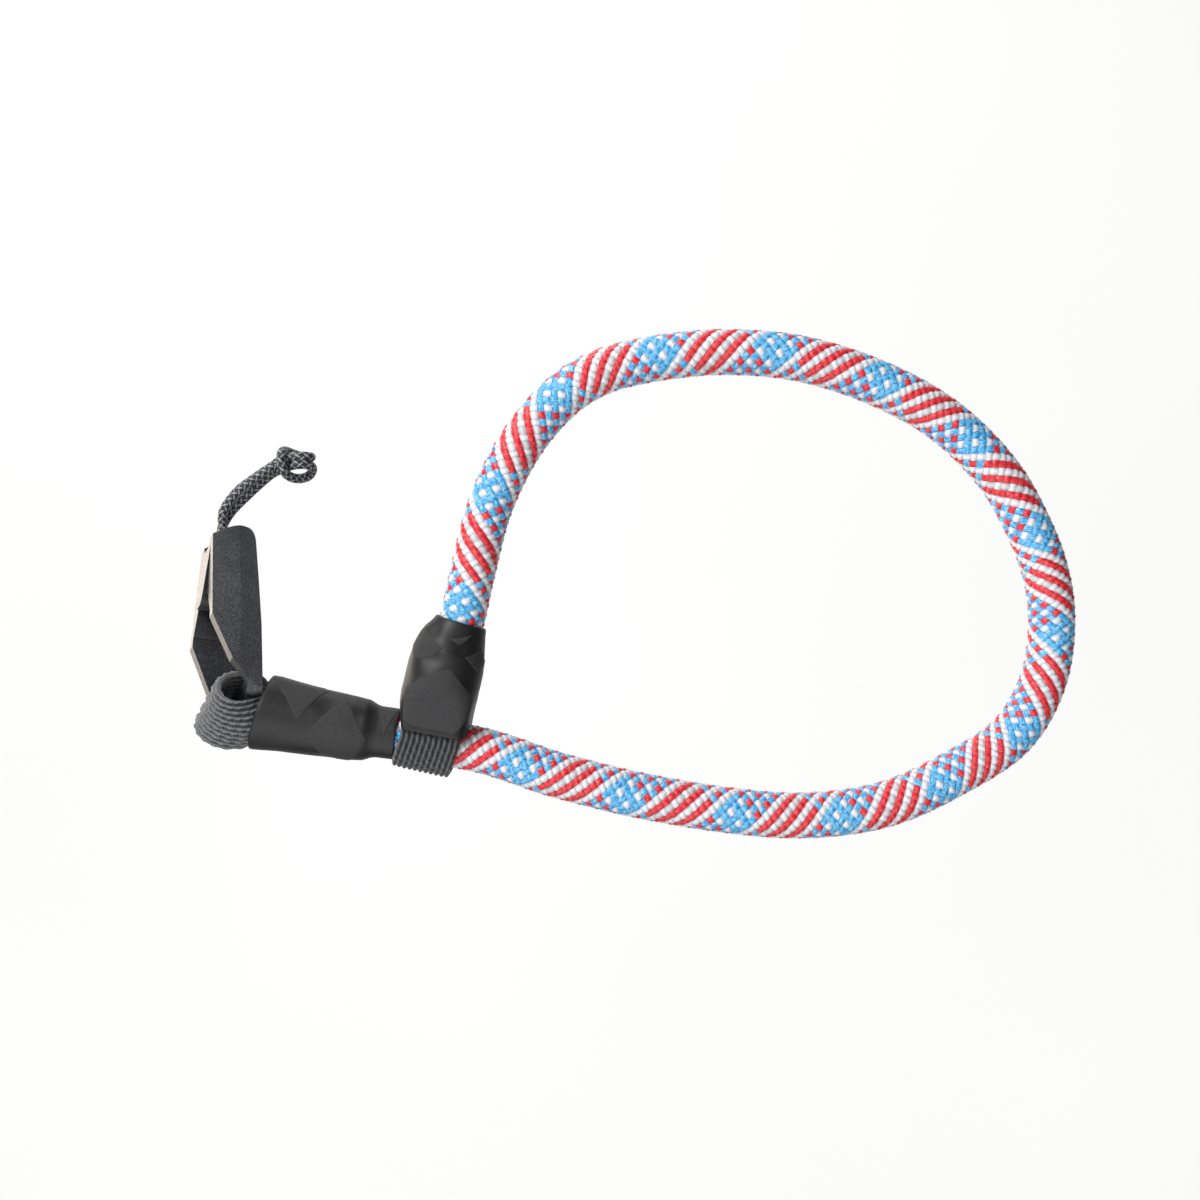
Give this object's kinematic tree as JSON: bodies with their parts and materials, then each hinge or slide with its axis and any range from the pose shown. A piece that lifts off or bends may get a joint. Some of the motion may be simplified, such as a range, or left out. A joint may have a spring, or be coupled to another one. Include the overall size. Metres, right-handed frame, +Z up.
{
  "type": "camera wrist strap",
  "caption": "Wrist strap of braided climbing rope: a sliding noose with shrunk collars, folded webbing and a quick-release connector on a thin anchor cord.",
  "frame": {"origin": "where the anchor cord's hitch closes round the camera's ring", "axes": "+X from the camera's ring along the noose, +Y away from the viewer through the noose, +Z up"},
  "size_m": [0.1929, 0.0309, 0.1096],
  "materials": {
    "cord": "black braided polyester cord",
    "button": "moulded nylon",
    "connector": "moulded glass-filled nylon, fine spark texture",
    "webbing": "ribbed nylon webbing",
    "collar": "heat-shrunk sleeve with raised matt triangles",
    "rope": "braided nylon sheath, white with red, blue and grey strands"
  },
  "bodies": {
    "root": {"anchor_cord": "cord", "anchor_button": "button", "connector": "connector", "anchor_webbing": "webbing", "anchor_collar": "collar", "rope": "rope", "keeper_collar": "collar", "keeper_webbing": "webbing"}
  },
  "joints": []
}
